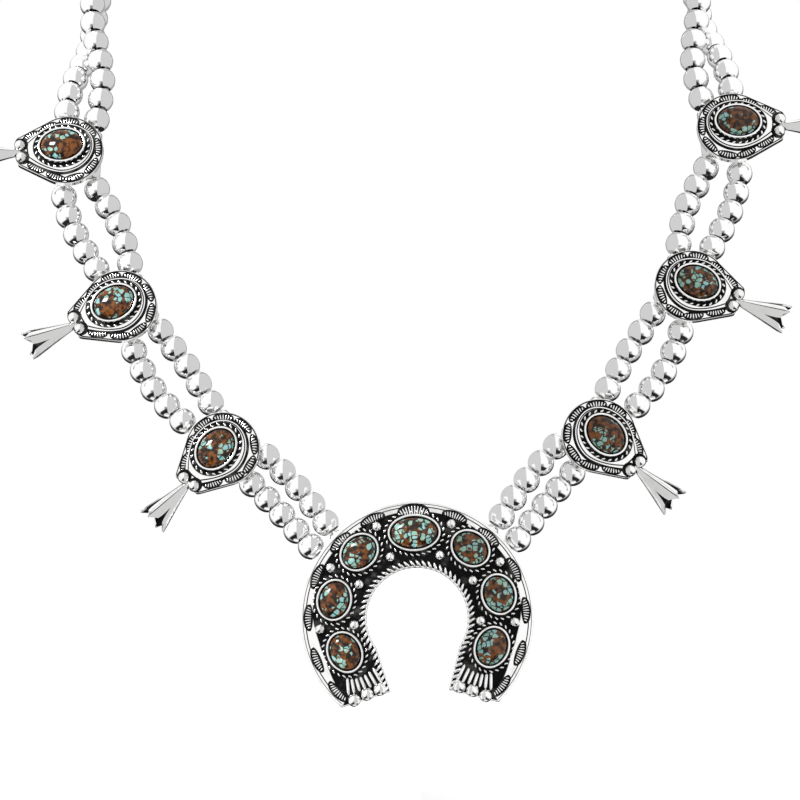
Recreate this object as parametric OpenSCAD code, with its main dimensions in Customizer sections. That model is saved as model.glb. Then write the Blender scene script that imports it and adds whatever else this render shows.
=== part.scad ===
// A two-strand necklace of round silver beads with six blossom plates and a horseshoe pendant.
// The front faces -Y, the pendant hangs at the middle, and the origin is at the nape of the neck.

/* [Loop] */
// How far the pendant leans back, in degrees
naja_lean = 6; // [4:0.5:7]
// Radius of the arc on which the front of the necklace leans back further, upwards from the pendant
chest_r = 500; // [470:10:560]
// How far the nape lies behind the pendant
nape_back = 116; // [114:1:118]
// How far the nape lies above the middle of the pendant
nape_rise = 198; // [195:1:202]
// Distance between the two strands at the nape
nape_spread = 7.2; // [7:0.1:7.6]

/* [Beads] */
// Diameter of a bead
bead_d = 6.8; // [6.4:0.1:6.9]
// Length of a bead between its flat ends
bead_len = 5.15; // [5:0.05:5.2]
// Diameter of the hole through a bead
bead_bore = 1.8; // [1.4:0.1:2.2]
// Diameter of the thread that the beads are strung on
thread_d = 0.7; // [0.5:0.1:0.8]

/* [Pendant] */
// Outer radius of the horseshoe pendant
naja_r = 29.8; // [28.5:0.1:29.8]
// Radius of the round opening in the horseshoe
naja_open_r = 12.8; // [12.4:0.1:13]
// Thickness of the silver sheet under the ornament
sheet_t = 1.3; // [1:0.1:1.6]
// Height of the polished border above the dark ground
border_h = 0.5; // [0.3:0.1:0.8]
// Thickness of the twisted wire round the opening
rope_d = 2.2; // [1.8:0.1:2.4]

/* [Blossom plates] */
// Radius of the round part of a plate
plate_r = 9.6; // [9.2:0.1:9.9]
// Distance from the middle of a plate's stone to its straight outer end
plate_reach = 12; // [11.4:0.1:12.4]
// Length of a blossom beyond its plate
blossom_len = 13; // [10:0.5:14]
// Radius of a blossom across the tips of its petals
blossom_r = 4.4; // [3.4:0.1:4.6]
// Thickness of a petal
petal_t = 0.6; // [0.4:0.1:0.8]

/* [Stones] */
// Height of the straight bezel wall round each stone
bezel_h = 1.9; // [1.4:0.1:2.4]
// Thickness of the bezel wall
bezel_t = 0.5; // [0.4:0.05:0.6]
// Gap between a stone and its setting
stone_gap = 0.1; // [0.08:0.01:0.15]

/* [Hidden] */

// Radius of the tubes at the back that carry the strands, and of their hole. Their ends taper, so
// that the bead next to them can tilt.
tube_r = 2.0;
tube_bore = 1.4;
tube_end_r = 1.05;
tube_taper = 1.2;
// Depth of the tubes below the sheet, so that the beads pass behind it, and width of the web that
// carries a tube there
tube_drop = bead_d / 2 + 0.25;
web_w = 2.4;
// Height of the dark ground above the middle of the tubes
ground_z = tube_drop + sheet_t;
end_gap = 0.25;
// How deep the raised parts start below the dark ground
sink = 0.4;
// Facets of a full circle
round_n = 64;
thread_n = 8;

// The blossom plates of the right side: middle sideways and up, how far the blossom points
// below the horizontal, and how far the tubes turn against the plate
// [level, across, up, droop, slant]
PLATES = [
    ["low", 50.0, 44.2, 49, 3],
    ["mid", 75.5, 82.2, 27, 5],
    ["top", 88.6, 123.8, 6, 9],
];
// The two lanes on a plate: place of the tube along the blossom's axis, and half its length
// [lane, along, half length]
LANES = [
    ["inner", -7.9, 7.0],
    ["outer", -0.1, 9.2],
];
// The stones of the pendant: angle from the top, distance from the middle, half length, half width
// [angle, distance, half length, half width]
NAJA_STONES = [
    [0, 21.7, 6.1, 4.1],
    [39.5, 22.3, 4.75, 3.9],
    [76, 21.6, 4.75, 3.9],
    [113.5, 20.4, 4.85, 3.9],
];
plate_stone = [5.6, 4.3];
// Middle of the round part of a plate, from the middle of its stone
plate_mid = [-1.1, -1.2];
// Small balls between the stones: angle from the top, distance of the outer and the inner ball
// [angle, outer, inner]
NAJA_BALLS = [
    [21.9, 25.5, 17.0],
    [58.0, 25.5, 17.1],
    [94.5, 24.9, 16.2],
];
ball_r = 1.28;
foot_ball_r = 1.7;
// The balls at the foot of each leg, across and up
FOOT_BALLS = [[10.1, -17.9], [13.4, -19.0], [16.7, -20.4]];
// The inner and outer corners of a foot
foot_in = [7.3, -18.6];
foot_out = [20.2, -22.4];
// Angle below the horizontal at which the round opening turns into the straight legs
leg_start = 35;
// Stamped fans: angles of the six at each side, their radius and the distance of their middle
FAN_ANGLES = [22.4, 43.5, 65.5, 88, 111, 131];
fan_r = 3.1;
fan_dist = 25.9;
fan_h = 0.3;
fan_ribs = 5;
plate_fans = [-147, -114, -82, -50, 50, 82, 114, 147, 180];
// Where the strands enter the pendant: angle from the top, and how far the tube's mouth stands
// out past the pendant's edge
// [lane, angle, reach]
MOUTHS = [
    ["inner", 42.2, 1.2],
    ["outer", 54.8, 0.2],
];
mouth_len = 8;

// Way points of the two strands between the tubes of the right side, across and up
LOW_INNER = [[28.4, 33.4]];
LOW_OUTER = [[33.9, 28.0]];
MID_INNER = [[57.0, 66.7]];
MID_OUTER = [[64.3, 58.6], [67.9, 64.2]];
TOP_INNER = [[74.2, 104.5]];
TOP_OUTER = [[85.6, 102.2]];
// Way points above the top plates: across, up and back from the middle of the pendant
NECK_INNER = [
    [78.5, 139.5, 35.4], [78.2, 146.0, 38.3], [80.4, 155.8, 42.6], [81.0, 164.5, 46.6],
    [79.0, 175.2, 53.6], [74.5, 186.5, 65.5], [65.5, 195.0, 80.0], [53.0, 200.0, 94.0],
    [37.5, 202.3, 105.5], [20.5, 201.9, 113.5],
];
NECK_OUTER = [
    [87.3, 139.0, 35.8], [85.4, 145.2, 40.9], [83.0, 150.5, 46.7], [81.5, 156.0, 51.2],
    [80.8, 161.7, 54.2], [78.8, 170.9, 59.6], [72.6, 180.6, 69.0], [63.9, 188.4, 82.0],
    [52.0, 193.0, 95.0], [37.2, 195.2, 105.7], [20.5, 194.8, 113.5],
];
// Beads between neighbouring carriers, from the pendant to the clasp
BEADS_INNER = [5, 5, 5, 27];
BEADS_OUTER = [5, 5, 5, 26];
clasp_half = 7;
clasp_mouth = 5;

function chest_lean(up) = asin(sin(naja_lean) + up / chest_r);
function chest_back(up) = chest_r * (cos(naja_lean) - cos(chest_lean(up)));
function on_chest(p) = [p[0], chest_back(p[1]), p[1]];
function from_middle(p) = [p[0], p[2], p[1]];
function pick(table, name) = table[search([name], table)[0]];

// A point of a plate's tubes, from along the blossom's axis and across it
function on_plate(plate, along, across) =
    let (turn = plate[3] - plate[4], rise = across * cos(turn) - along * sin(turn),
        lean = chest_lean(plate[2]))
    [plate[1] + along * cos(turn) + across * sin(turn),
     chest_back(plate[2]) + rise * sin(lean),
     plate[2] + rise * cos(lean)];

// A point of the pendant's tubes, from its angle to the top and its distance from the middle
function on_naja(angle, dist) =
    let (rise = dist * cos(angle))
    [dist * sin(angle), rise * sin(naja_lean), rise * cos(naja_lean)];

function lane_of(lane) = pick(LANES, lane);
function lane_sign(lane) = lane == "inner" ? 1 : -1;
function tube_end(level, lane, end) =
    on_plate(pick(PLATES, level), lane_of(lane)[1], end * (lane_of(lane)[2] + end_gap));
function mouth_r(lane) = naja_r + pick(MOUTHS, lane)[2];
function mouth(lane, inwards) = on_naja(pick(MOUTHS, lane)[1], mouth_r(lane) - inwards);
function clasp_point(lane, across) =
    [across, nape_back, nape_rise + lane_sign(lane) * nape_spread / 2];

function runs(lane) = lane == "inner"
    ? [[for (p = LOW_INNER) on_chest(p)], [for (p = MID_INNER) on_chest(p)],
       [for (p = TOP_INNER) on_chest(p)], [for (p = NECK_INNER) from_middle(p)]]
    : [[for (p = LOW_OUTER) on_chest(p)], [for (p = MID_OUTER) on_chest(p)],
       [for (p = TOP_OUTER) on_chest(p)], [for (p = NECK_OUTER) from_middle(p)]];

// The four runs of a strand from carrier to carrier. The first and the last point of each lie
// inside the carriers and only set the direction there.
function run_points(lane, i) =
    let (levels = ["low", "mid", "top"])
    concat(
        i == 0
            ? [mouth(lane, mouth_len), mouth(lane, -end_gap)]
            : [tube_end(levels[i - 1], lane, -1), tube_end(levels[i - 1], lane, 1)],
        runs(lane)[i],
        i == 3
            ? [clasp_point(lane, clasp_half + end_gap), clasp_point(lane, -clasp_half)]
            : [tube_end(levels[i], lane, -1), tube_end(levels[i], lane, 1)]
    );

function smooth(a, b, c, d, t) =
    (2 * b + (c - a) * t + (2 * a - 5 * b + 4 * c - d) * t * t
        + (3 * b - a - 3 * c + d) * t * t * t) / 2;
smooth_steps = 12;
function smooth_run(p) = concat(
    [for (i = [1:len(p) - 3], k = [0:smooth_steps - 1])
        smooth(p[i - 1], p[i], p[i + 1], p[i + 2], k / smooth_steps)],
    [p[len(p) - 2]]
);
function lengths(p, i = 0, total = 0) = i == len(p) - 1
    ? [total]
    : concat([total], lengths(p, i + 1, total + norm(p[i + 1] - p[i])));
function at(way, dist) = [for (axis = [0:2]) lookup(dist, [for (i = [0:len(way[0]) - 1])
    [way[1][i], way[0][i][axis]]])];

// The beads of a run: [middle, direction]
function run_beads(lane, i) =
    let (
        p = smooth_run(run_points(lane, i)),
        way = [p, lengths(p)],
        total = way[1][len(p) - 1],
        count = (lane == "inner" ? BEADS_INNER : BEADS_OUTER)[i],
        pitch = total / count
    )
    [for (k = [0:count - 1])
        let (a = at(way, k * pitch), b = at(way, (k + 1) * pitch))
        [(a + b) / 2, (b - a) / norm(b - a)]];
function strand_beads(lane) = [for (i = [0:3]) each run_beads(lane, i)];

// The thread runs through the middle of every bead and straight through the tubes
function thread_points(lane) = concat(
    [mouth(lane, mouth_len - 1)],
    [for (i = [0:3]) each concat(
        [run_points(lane, i)[1]],
        [for (b = run_beads(lane, i)) b[0]],
        [run_points(lane, i)[len(run_points(lane, i)) - 2]])],
    [clasp_point(lane, clasp_half - clasp_mouth + 1)]
);

module in_place() translate([0, bead_d / 2 - nape_back, -nape_rise]) children();
module on_side(side) {
    if (side == "left") mirror([1, 0, 0]) children();
    else children();
}
module aim(dir) {
    pitch = acos(dir[2]);
    turn = atan2(dir[1], dir[0]);
    rotate([0, pitch, turn]) children();
}
// Stands the flat pendant up, so that its face looks forwards
module naja_place() rotate([90 - naja_lean, 0, 0]) children();
module plate_place(level) {
    plate = pick(PLATES, level);
    translate([plate[1], chest_back(plate[2]), plate[2]])
        rotate([90 - chest_lean(plate[2]), 0, 0]) rotate([0, 0, -plate[3]]) children();
}

module oval(a, b) {
    oval_n = 36;
    polygon([for (i = [0:oval_n - 1]) [a * cos(i * 360 / oval_n), b * sin(i * 360 / oval_n)]]);
}
module oval_ring(a, b, width, h) linear_extrude(h) difference() {
    oval(a + width, b + width);
    oval(a, b);
}

// A bezel wall with a lower ring of twisted wire outside it
module setting(a, b) {
    wire_w = 0.75;
    wire_h = 0.9;
    translate([0, 0, ground_z - sink]) {
        oval_ring(a + stone_gap, b + stone_gap, bezel_t + wire_w, sink + wire_h);
        oval_ring(a + stone_gap, b + stone_gap, bezel_t, sink + bezel_h);
    }
}
// An oval stone with a straight girdle and a dome
module cabochon(a, b, dome) {
    girdle = bezel_h - 0.2;
    translate([0, 0, ground_z + stone_gap]) hull() {
        linear_extrude(girdle) oval(a, b);
        for (turn = [16, 32, 48, 64, 80]) linear_extrude(girdle + dome * sin(turn))
            oval(a * cos(turn), b * cos(turn));
    }
}
// A ribbed half disc with its arc towards +Y
module fan(r) translate([0, 0, ground_z - sink]) {
    rise = sink + border_h + fan_h;
    spread = 50;
    rib_w = 0.36;
    linear_extrude(rise) intersection() {
        circle(r, $fn = round_n);
        translate([-r, 0.25 * r]) square([2 * r, r]);
    }
    for (i = [0:fan_ribs - 1]) rotate(-spread + i * 2 * spread / (fan_ribs - 1))
        translate([-rib_w / 2, 0.3 * r, 0]) cube([rib_w, 0.55 * r, rise + fan_h]);
}
module ball(r) sphere(r, $fn = 32);

// The body of a tube along Z with tapered ends, and its web towards +Y
module tube(h) {
    straight = h - 2 * tube_taper;
    low = tube_r / 2;
    long = straight - 1;
    rotate_extrude($fn = round_n) polygon([[0, -h / 2], [tube_end_r, -h / 2],
        [tube_r, -straight / 2], [tube_r, straight / 2], [tube_end_r, h / 2], [0, h / 2]]);
    translate([-web_w / 2, low, -long / 2])
        cube([web_w, tube_drop + sheet_t / 2 - low, long]);
}

// The open middle of the horseshoe, widened by a margin
module naja_opening(margin) {
    a = leg_start;
    r = naja_open_r + margin;
    foot = foot_in[0] + margin;
    circle(r, $fn = 2 * round_n);
    polygon([[-r * cos(a), -r * sin(a)], [-foot, foot_in[1]], [-foot, foot_out[1] - 9],
        [foot, foot_out[1] - 9], [foot, foot_in[1]], [r * cos(a), -r * sin(a)]]);
}
// All that lies below the feet
module below_feet() {
    slope = (foot_out[1] - foot_in[1]) / (foot_out[0] - foot_in[0]);
    side = 40;
    polygon([[-side, foot_in[1] + slope * (side - foot_in[0])], [-foot_in[0], foot_in[1]],
        [foot_in[0], foot_in[1]], [side, foot_in[1] + slope * (side - foot_in[0])],
        [side, -side - 10], [-side, -side - 10]]);
}
module horseshoe(inset_out, inset_in) difference() {
    circle(naja_r - inset_out, $fn = 2 * round_n);
    naja_opening(inset_in);
    below_feet();
}
// The twisted wire round the opening, along the arc and down the legs
module naja_rope() {
    r = naja_open_r + rope_d / 2;
    a = leg_start;
    low = [r * cos(a), -r * sin(a)];
    foot = [foot_in[0] + rope_d / 2, foot_in[1] - 0.2];
    rise = ground_z + rope_d / 2 - 0.35;
    translate([0, 0, rise]) {
        rotate([0, 0, -a]) rotate_extrude(angle = 180 + 2 * a, $fn = 2 * round_n)
            translate([r, 0]) circle(d = rope_d, $fn = 24);
        for (s = [-1, 1]) {
            leg = [s * (foot[0] - low[0]), foot[1] - low[1], 0];
            translate([s * low[0], low[1], 0]) {
                sphere(d = rope_d + 0.1, $fn = 24);
                aim(leg / norm(leg)) cylinder(d = rope_d, h = norm(leg), $fn = 24);
            }
        }
    }
}
// Raised rays that spread from below the lowest stone to the foot
module foot_rays() {
    rays = 6;
    ray_d = 0.8;
    for (i = [0:rays - 1]) {
        t = i / (rays - 1);
        top = [11.7 + 6.2 * t, -12.6 - 2.6 * t - 2.2 * t * (1 - t) * 2];
        low = [9.6 + 8.3 * t, -16.6 - 2.4 * t];
        way = [low[0] - top[0], low[1] - top[1], 0];
        translate([top[0], top[1], ground_z + 0.1]) aim(way / norm(way))
            cylinder(d = ray_d, h = norm(way), $fn = 16);
    }
}

module naja() color([0.80, 0.80, 0.80]) in_place() naja_place() {
    border_w = 2.6;
    difference() {
        union() {
            difference() {
                translate([0, 0, tube_drop]) linear_extrude(sheet_t + border_h) horseshoe(0, 0);
                translate([0, 0, ground_z])
                    cylinder(r = naja_r - border_w, h = 2 * border_h, $fn = 2 * round_n);
            }
            for (s = [-1, 1], m = MOUTHS) rotate(-s * m[1])
                translate([0, mouth_r(m[0]) - mouth_len / 2, 0]) rotate([90, 0, 0]) tube(mouth_len);
        }
        for (s = [-1, 1], m = MOUTHS) rotate(-s * m[1])
            translate([0, mouth_r(m[0]) - mouth_len / 2 + 0.6, 0]) rotate([90, 0, 0])
                cylinder(d = tube_bore, h = mouth_len, center = true, $fn = round_n);
    }
    naja_rope();
    for (s = [-1, 1]) {
        for (row = NAJA_STONES) if (row[0] > 0 || s > 0)
            rotate(-s * row[0]) translate([0, row[1], 0]) setting(row[2], row[3]);
        for (row = NAJA_BALLS, dist = [row[1], row[2]])
            rotate(-s * row[0]) translate([0, dist, ground_z + 0.6]) ball(ball_r);
        for (p = FOOT_BALLS) translate([s * p[0], p[1], ground_z + 0.5]) ball(foot_ball_r);
        for (angle = FAN_ANGLES)
            rotate(-s * angle) translate([0, fan_dist, 0]) fan(fan_r);
    }
    translate([0, fan_dist - 0.3, 0]) fan(fan_r + 0.5);
    foot_rays();
    mirror([1, 0, 0]) foot_rays();
}

module naja_stone(i) {
    side = i < 4 ? -1 : 1;
    row = NAJA_STONES[abs(i - 4)];
    color([0.36, 0.55, 0.50]) in_place() naja_place() rotate(-side * row[0])
        translate([0, row[1], 0]) cabochon(row[2], row[3], i == 4 ? 1.9 : 1.7);
}

// A round plate that narrows to a straight outer end, with the margin taken off all round
module plate_outline(margin) {
    r = plate_r - margin;
    end_half = 3.8 - margin / 2;
    reach = plate_reach - margin;
    touch_up = 64;
    touch_low = 57;
    translate(plate_mid) circle(r, $fn = 2 * round_n);
    polygon([plate_mid + r * [cos(touch_up), sin(touch_up)], [reach, end_half],
        [reach, -end_half], plate_mid + r * [cos(touch_low), -sin(touch_low)]]);
}
// A flower that opens outwards: a stem, then a bell that four notches part into petals
module blossom() {
    tip = plate_reach + blossom_len;
    neck = plate_reach + 0.45 * blossom_len;
    stem_r = 0.95;
    neck_r = 1.5;
    start = plate_reach - 2.5;
    outer = [[0, start], [stem_r, start], [stem_r, plate_reach + 1.2], [neck_r, neck],
        [0.50 * blossom_r, tip - 3.4], [0.72 * blossom_r, tip - 1.6], [blossom_r, tip]];
    inner = [[blossom_r - petal_t, tip], [0.72 * blossom_r - petal_t, tip - 1.3],
        [0.50 * blossom_r - petal_t, tip - 3.1], [neck_r - petal_t, neck + 1.2], [0, neck + 0.6]];
    tilt = 4;
    translate([plate_reach, 0, ground_z]) rotate(tilt) translate([-plate_reach, 0, 0])
        rotate([0, 90, 0]) difference() {
            rotate_extrude($fn = round_n) polygon(concat(outer, inner));
            for (turn = [45:90:315]) rotate([0, 0, turn]) rotate([90, 0, 90])
                linear_extrude(2 * blossom_r)
                    polygon([[0, neck + 0.8], [-1.5, tip + 1], [1.5, tip + 1]]);
        }
}
module blossom_plate(level, side) color([0.82, 0.82, 0.82]) in_place() on_side(side) plate_place(level) {
    slant = pick(PLATES, level)[4];
    border_w = 2.3;
    ear = [plate_reach - 1.1, 1.7];
    ear_r = 1.5;
    difference() {
        union() {
            difference() {
                translate([0, 0, tube_drop]) linear_extrude(sheet_t + border_h) plate_outline(0);
                translate([0, 0, ground_z]) linear_extrude(2 * border_h) plate_outline(border_w);
            }
            rotate(slant) for (lane = LANES) translate([lane[1], 0, 0]) rotate([90, 0, 0])
                tube(2 * lane[2]);
        }
        rotate(slant) for (lane = LANES) translate([lane[1], 0, 0]) rotate([90, 0, 0])
            cylinder(d = tube_bore, h = 2 * lane[2] + 1, center = true, $fn = round_n);
    }
    setting(plate_stone[0], plate_stone[1]);
    translate(plate_mid) for (angle = plate_fans) rotate(angle - 90)
        translate([0, plate_r - 3.25, 0]) fan(2.3);
    for (s = [-1, 1]) translate([ear[0], s * ear[1], ground_z + 0.5]) ball(ear_r);
    blossom();
}
module plate_stone(level, side) color([0.36, 0.55, 0.50]) in_place() on_side(side)
    plate_place(level) cabochon(plate_stone[0], plate_stone[1], 2);

module bead() difference() {
    intersection() {
        sphere(d = bead_d, $fn = round_n);
        cube([2 * bead_d, 2 * bead_d, bead_len], center = true);
    }
    cylinder(d = bead_bore, h = bead_d, center = true, $fn = round_n / 2);
}
module bead_strand(lane, side) color([0.86, 0.86, 0.86]) in_place() on_side(side)
    for (b = strand_beads(lane)) translate(b[0]) aim(b[1]) bead();

// A thin tube swept along the thread's points, with its rings square to the way
module thread(lane, side) {
    p = thread_points(lane);
    last = len(p) - 1;
    rings = [for (i = [0:last])
        let (
            way = p[min(i + 1, last)] - p[max(i - 1, 0)],
            dir = way / norm(way),
            across = cross(dir, [0, 1, 0.3]),
            u = across / norm(across),
            v = cross(dir, u)
        )
        for (k = [0:thread_n - 1])
            p[i] + thread_d / 2 * (cos(k * 360 / thread_n) * u + sin(k * 360 / thread_n) * v)];
    walls = [for (i = [0:last - 1], k = [0:thread_n - 1])
        let (a = i * thread_n + k, b = i * thread_n + (k + 1) % thread_n)
        each [[a, b, b + thread_n], [a, b + thread_n, a + thread_n]]];
    caps = [[for (k = [thread_n - 1:-1:0]) k], [for (k = [0:thread_n - 1]) last * thread_n + k]];
    color([0.55, 0.55, 0.55]) in_place() on_side(side) polyhedron(rings, concat(walls, caps));
}

// A plain bar at the nape that takes the ends of all four threads
module clasp() color([0.80, 0.80, 0.80]) in_place()
    translate([0, nape_back, nape_rise]) difference() {
        hh = nape_spread / 2 + 3;
        rotate([90, 0, 0]) linear_extrude(bead_d, center = true)
            square([2 * clasp_half, 2 * hh], center = true);
        for (s = [-1, 1], lane = [-1, 1])
            translate([s * (clasp_half - clasp_mouth / 2 + 0.5), 0, lane * nape_spread / 2])
                rotate([0, 90, 0]) cylinder(d = tube_bore, h = clasp_mouth + 1, center = true,
                    $fn = round_n);
    }

naja();
clasp();
for (i = [1:7]) naja_stone(i);
for (side = ["left", "right"]) {
    for (level = ["low", "mid", "top"]) {
        blossom_plate(level, side);
        plate_stone(level, side);
    }
    for (lane = ["inner", "outer"]) {
        bead_strand(lane, side);
        thread(lane, side);
    }
}
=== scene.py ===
# %% [markdown]
# # A squash blossom necklace in silver and turquoise
# The necklace hangs as it is worn. Two strands of round silver beads carry six blossom plates and a
# horseshoe pendant, the naja. The CAD model is loaded first and stays as it is. Each new piece is
# modelled over the CAD piece that it stands for, at the same place and size.

# %% Load the fixed frame
import math
import bpy
from mathutils import Matrix, Vector


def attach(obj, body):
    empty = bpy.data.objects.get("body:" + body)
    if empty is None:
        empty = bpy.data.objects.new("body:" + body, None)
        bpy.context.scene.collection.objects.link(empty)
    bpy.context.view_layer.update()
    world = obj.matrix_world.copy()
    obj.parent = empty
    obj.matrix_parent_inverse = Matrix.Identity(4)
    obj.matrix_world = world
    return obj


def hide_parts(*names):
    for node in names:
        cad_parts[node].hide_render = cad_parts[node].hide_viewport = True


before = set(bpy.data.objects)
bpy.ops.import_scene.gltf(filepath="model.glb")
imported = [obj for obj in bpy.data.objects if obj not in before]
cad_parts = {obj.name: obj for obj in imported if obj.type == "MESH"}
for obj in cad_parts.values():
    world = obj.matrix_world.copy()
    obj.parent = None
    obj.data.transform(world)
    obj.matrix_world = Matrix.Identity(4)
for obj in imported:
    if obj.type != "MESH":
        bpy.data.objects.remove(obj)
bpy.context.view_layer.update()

print("CAD pieces:", len(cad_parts))

# %% [markdown]
# ## Camera
# The picture was taken from straight ahead and from about a metre away, with a long lens. The
# necklace hangs two degrees out of level in it, and rolling the camera gives the same slant
# without turning the necklace.

# %% Camera
MM = 0.001
camera_data = bpy.data.cameras.new("camera")
camera_data.sensor_width = 36.0
camera_data.lens = 184.57
camera = bpy.data.objects.new("camera", camera_data)
bpy.context.scene.collection.objects.link(camera)
roll = math.radians(-2.0)
camera.matrix_world = (
    Matrix.Translation((-2.43 * MM, -1162.85 * MM, -141.81 * MM))
    @ Matrix.Rotation(math.radians(90), 4, "X")
    @ Matrix.Rotation(roll, 4, "Z")
)
bpy.context.scene.camera = camera
bpy.context.scene.view_settings.view_transform = "Standard"
print("lens:", camera_data.lens, "mm")

# %% [markdown]
# ## Studio
# Polished silver has no colour of its own, it shows the room. The room here is a white tent with
# a dark band low in front with a streak that rises from its middle, and another band behind, which
# draw the dark wedges and crescents on the beads. A world shader can hold all of that, so few
# lights are needed. Lamps and cards for each reflection would also do, but they show in each other.
# The camera itself sees plain white.


# %% Helpers for nodes
def add_node(nodes, kind, **settings):
    node = nodes.new(kind)
    for name, value in settings.items():
        setattr(node, name, value)
    return node


def math_node(tree, operation, a, b=None):
    """A Math node. Its inputs are sockets or numbers, and it gives its output socket."""
    node = add_node(tree.nodes, "ShaderNodeMath", operation=operation)
    for socket, value in zip(node.inputs, (a, b)):
        if isinstance(value, bpy.types.NodeSocket):
            tree.links.new(value, socket)
        elif value is not None:
            socket.default_value = value
    return node.outputs[0]


def step(tree, value, low, high):
    """Rises softly from 0 at low to 1 at high, or falls if low is above high."""
    node = add_node(tree.nodes, "ShaderNodeMapRange", interpolation_type="SMOOTHSTEP")
    tree.links.new(value, node.inputs["Value"])
    node.inputs["To Min"].default_value = 0.0 if low < high else 1.0
    node.inputs["To Max"].default_value = 1.0 if low < high else 0.0
    node.inputs["From Min"].default_value = min(low, high)
    node.inputs["From Max"].default_value = max(low, high)
    return node.outputs["Result"]


# %% White tent with dark bands
world = bpy.data.worlds.new("studio")
bpy.context.scene.world = world
world.use_nodes = True
tree = world.node_tree
tree.nodes.clear()
direction = add_node(tree.nodes, "ShaderNodeTexCoord")
parts = add_node(tree.nodes, "ShaderNodeSeparateXYZ")
tree.links.new(direction.outputs["Generated"], parts.inputs[0])
side, depth, height = parts.outputs

sideways = math_node(tree, "ABSOLUTE", side)
slope = math_node(tree, "MULTIPLY", sideways, 0.42)
level = math_node(tree, "ADD", height, slope)
low_front = math_node(
    tree, "MULTIPLY",
    math_node(tree, "MULTIPLY", step(tree, level, -0.24, -0.46), step(tree, height, -0.96, -0.90)),
    step(tree, depth, 0.40, 0.10),
)
far_part, high_part = math_node(tree, "MULTIPLY", depth, 0.9), math_node(tree, "MULTIPLY", height, 0.6)
behind = math_node(tree, "SUBTRACT", far_part, high_part)
low_back = math_node(tree, "MULTIPLY", step(tree, behind, 0.40, 0.95), step(tree, height, -0.97, -0.91))
streak = math_node(
    tree, "MULTIPLY",
    math_node(tree, "MULTIPLY", step(tree, sideways, 0.50, 0.25), step(tree, height, 0.0, -0.30)),
    step(tree, depth, -0.05, -0.35),
)
bands = math_node(tree, "MAXIMUM", low_front, low_back)
dark = math_node(tree, "MAXIMUM", bands, math_node(tree, "MULTIPLY", streak, 0.75))
print("nodes for the dark bands:", len(tree.nodes))

# %% Colours of the tent
tent = add_node(tree.nodes, "ShaderNodeMix", data_type="RGBA")
tree.links.new(dark, tent.inputs["Factor"])
tent.inputs["A"].default_value = (1.05, 1.05, 1.05, 1)
tent.inputs["B"].default_value = (0.02, 0.02, 0.02, 1)
room = add_node(tree.nodes, "ShaderNodeBackground")
tree.links.new(tent.outputs["Result"], room.inputs["Color"])
plain = add_node(tree.nodes, "ShaderNodeBackground")
plain.inputs["Color"].default_value = (1, 1, 1, 1)
seen = add_node(tree.nodes, "ShaderNodeLightPath")
choice = add_node(tree.nodes, "ShaderNodeMixShader")
tree.links.new(seen.outputs["Is Camera Ray"], choice.inputs["Fac"])
tree.links.new(room.outputs[0], choice.inputs[1])
tree.links.new(plain.outputs[0], choice.inputs[2])
out = add_node(tree.nodes, "ShaderNodeOutputWorld")
tree.links.new(choice.outputs[0], out.inputs["Surface"])
print("studio nodes:", len(tree.nodes))

# %% [markdown]
# Every bead shows flat grey on its inner half and light on its outer half, at the left and at the
# right alike. Only a card between the two halves of the necklace does that, so a grey card stands
# upright along the middle, in front of the pendant and behind it. It is a plane that glows a little,
# so that its grey doesn't depend on the lamp, and the camera doesn't see it.


# %% Helpers for plain things
def plain_material(name, color, glow=0.0):
    material = bpy.data.materials.new(name)
    material.use_nodes = True
    shader = material.node_tree.nodes["Principled BSDF"]
    shader.inputs["Base Color"].default_value = (*color, 1)
    shader.inputs["Roughness"].default_value = 0.9
    shader.inputs["Specular IOR Level"].default_value = 0.0
    shader.inputs["Emission Color"].default_value = (*color, 1)
    shader.inputs["Emission Strength"].default_value = glow
    return material


def deselect():
    if bpy.context.object and bpy.context.object.mode != "OBJECT":
        bpy.ops.object.mode_set(mode="OBJECT")
    bpy.ops.object.select_all(action="DESELECT")


def named(name, material=None):
    """The object that an operator has just added, with its name and finish."""
    piece = bpy.context.object
    piece.name = piece.data.name = name
    if material:
        piece.data.materials.append(material)
    return piece


def settle(piece):
    """Moves the object's own place, turn and scale into its mesh."""
    deselect()
    piece.select_set(True)
    bpy.context.view_layer.objects.active = piece
    bpy.ops.object.transform_apply(location=True, rotation=True, scale=True)


def glowing(name, glow):
    material = plain_material(name, (0, 0, 0), 1.0)
    shader = material.node_tree.nodes["Principled BSDF"]
    shader.inputs["Emission Color"].default_value = (glow, glow, glow, 1)
    return material


# %% Grey card along the middle
card_grey, card_dark = glowing("card_grey", 0.66), glowing("card_dark", 0.40)
# name: nearest and farthest place, lowest and highest place, material
CARDS = {
    "card_front": (-1.10, -0.128, -0.67, 0.43, card_grey),
    "card_over": (-0.128, -0.106, -0.162, 0.43, card_grey),
    "card_inside": (-0.106, -0.004, -0.67, 0.43, card_grey),
    "card_behind": (0.010, 0.5, -0.67, 0.43, card_dark),
}
for name, (near, far, low, high, finish) in CARDS.items():
    deselect()
    middle = (0, (near + far) / 2, (low + high) / 2)
    bpy.ops.mesh.primitive_plane_add(size=1, location=middle, rotation=(0, math.pi / 2, 0))
    card = named(name, finish)
    card.scale = (high - low, far - near, 1)
    settle(card)
    card.visible_camera = False
    print(name, "from", near, "to", far)

# %% Floor
deselect()
bpy.ops.mesh.primitive_plane_add(size=6, location=(0, 0, -0.30))
floor = named("floor", plain_material("floor_white", (0.95, 0.95, 0.95), 0.3))
settle(floor)
floor.visible_glossy = False
print("floor at", floor.data.vertices[0].co.z)

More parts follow.
